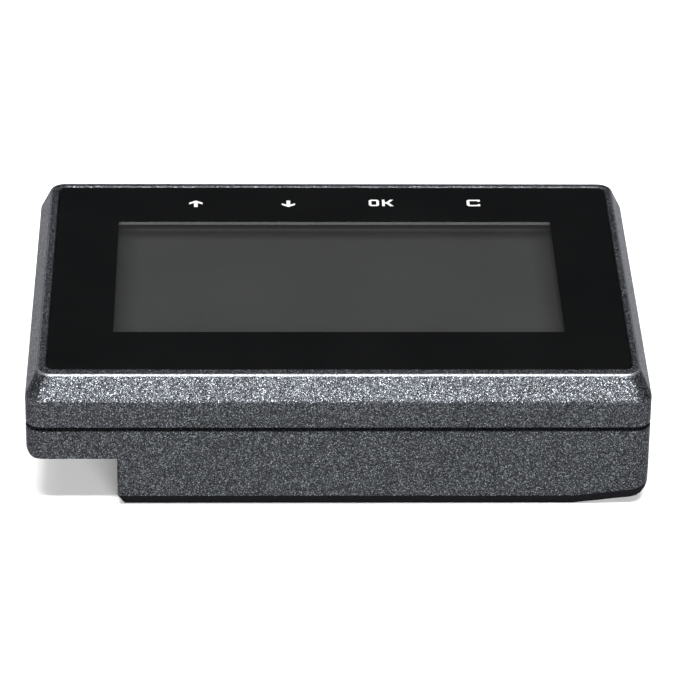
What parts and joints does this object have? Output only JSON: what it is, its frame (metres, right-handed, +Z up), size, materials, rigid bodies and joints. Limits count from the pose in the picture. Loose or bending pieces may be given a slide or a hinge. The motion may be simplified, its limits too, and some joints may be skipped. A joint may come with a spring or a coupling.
{
  "type": "radar detector",
  "caption": "Flat dashboard radar detector with a glossy black display panel, sparkle-painted split shell, push keys in the far wall and a stepped end with its sockets.",
  "frame": {"origin": "on the resting plane, under the middle of the bounding box", "axes": "+X along the long side to the right as the symbols are read, +Y towards the wall with the keys, +Z up out of the display"},
  "size_m": [0.095, 0.0672, 0.0222],
  "materials": {
    "sparkle_paint": "gunmetal paint with fine metallic sparkle on moulded plastic",
    "black_plastic": "fine-textured black plastic",
    "label_film": "blank satin film",
    "panel_glass": "clear, glossy and flat",
    "black_print": "opaque black ink",
    "foam_tape": "black foam tape",
    "display_face": "unlit grey display under a satin polariser",
    "bezel_metal": "matt grey blasted sheet",
    "tinplate": "bright tinned sheet steel",
    "white_plastic": "white moulded plastic",
    "amber_film": "amber flexible circuit",
    "component_black": "black moulded component body",
    "board_laminate": "green solder mask",
    "cast_metal": "satin die-cast metal",
    "ceramic": "unglazed ceramic",
    "pin_brass": "turned brass",
    "dark_steel": "black zinc plate",
    "cone_paper": "black pressed paper",
    "smoked_lens": "dark infrared filter plastic"
  },
  "bodies": {
    "case": {"upper_shell": "sparkle_paint", "lower_shell": "sparkle_paint", "base_cover": "black_plastic", "blank_label": "label_film", "panel_lens": "panel_glass", "printed_mask": "black_print", "panel_tape": "foam_tape", "display_bezel": "bezel_metal", "display_cell": "display_face", "backlight": "white_plastic", "display_flex": "amber_film", "display_connector": "component_black", "main_board": "board_laminate", "processor": "component_black", "memory_chip": "component_black", "audio_amplifier": "component_black", "receiver_shield": "tinplate", "crystal": "tinplate", "power_inductor": "component_black", "supply_capacitor": "tinplate", "backup_cell": "cast_metal", "horn_antenna": "cast_metal", "mixer_board": "board_laminate", "mixer_shield": "tinplate", "satellite_board": "board_laminate", "satellite_patch": "ceramic", "laser_lens": "smoked_lens", "laser_holder": "component_black", "laser_diode": "smoked_lens", "speaker_basket": "dark_steel", "speaker_cone": "cone_paper", "speaker_magnet": "cast_metal", "socket_board": "board_laminate", "board_header": "component_black", "power_inlet": "component_black", "power_pin": "pin_brass", "data_socket": "tinplate", "data_tongue": "component_black", "power_switch": "component_black", "switch_up": "component_black", "switch_down": "component_black", "switch_ok": "component_black", "switch_cancel": "component_black", "screw_1": "dark_steel", "screw_2": "dark_steel", "screw_3": "dark_steel", "screw_4": "dark_steel"},
    "up_key": {"key_up": "black_plastic", "plunger_up": "white_plastic"},
    "down_key": {"key_down": "black_plastic", "plunger_down": "white_plastic"},
    "ok_key": {"key_ok": "black_plastic", "plunger_ok": "white_plastic"},
    "cancel_key": {"key_cancel": "black_plastic", "plunger_cancel": "white_plastic"},
    "power_slider": {"power_knob": "black_plastic"}
  },
  "joints": [
    {"name": "up_key_press", "type": "slide", "parent": "case", "child": "up_key", "axis": [0, -1, 0], "range_m": [0, 0.0004], "stiffness_N_per_m": 2500},
    {"name": "down_key_press", "type": "slide", "parent": "case", "child": "down_key", "axis": [0, -1, 0], "range_m": [0, 0.0004], "stiffness_N_per_m": 2500},
    {"name": "ok_key_press", "type": "slide", "parent": "case", "child": "ok_key", "axis": [0, -1, 0], "range_m": [0, 0.0004], "stiffness_N_per_m": 2500},
    {"name": "cancel_key_press", "type": "slide", "parent": "case", "child": "cancel_key", "axis": [0, -1, 0], "range_m": [0, 0.0004], "stiffness_N_per_m": 2500},
    {"name": "power_slide", "type": "slide", "parent": "case", "child": "power_slider", "axis": [0, 1, 0], "range_m": [0, 0.002]}
  ]
}
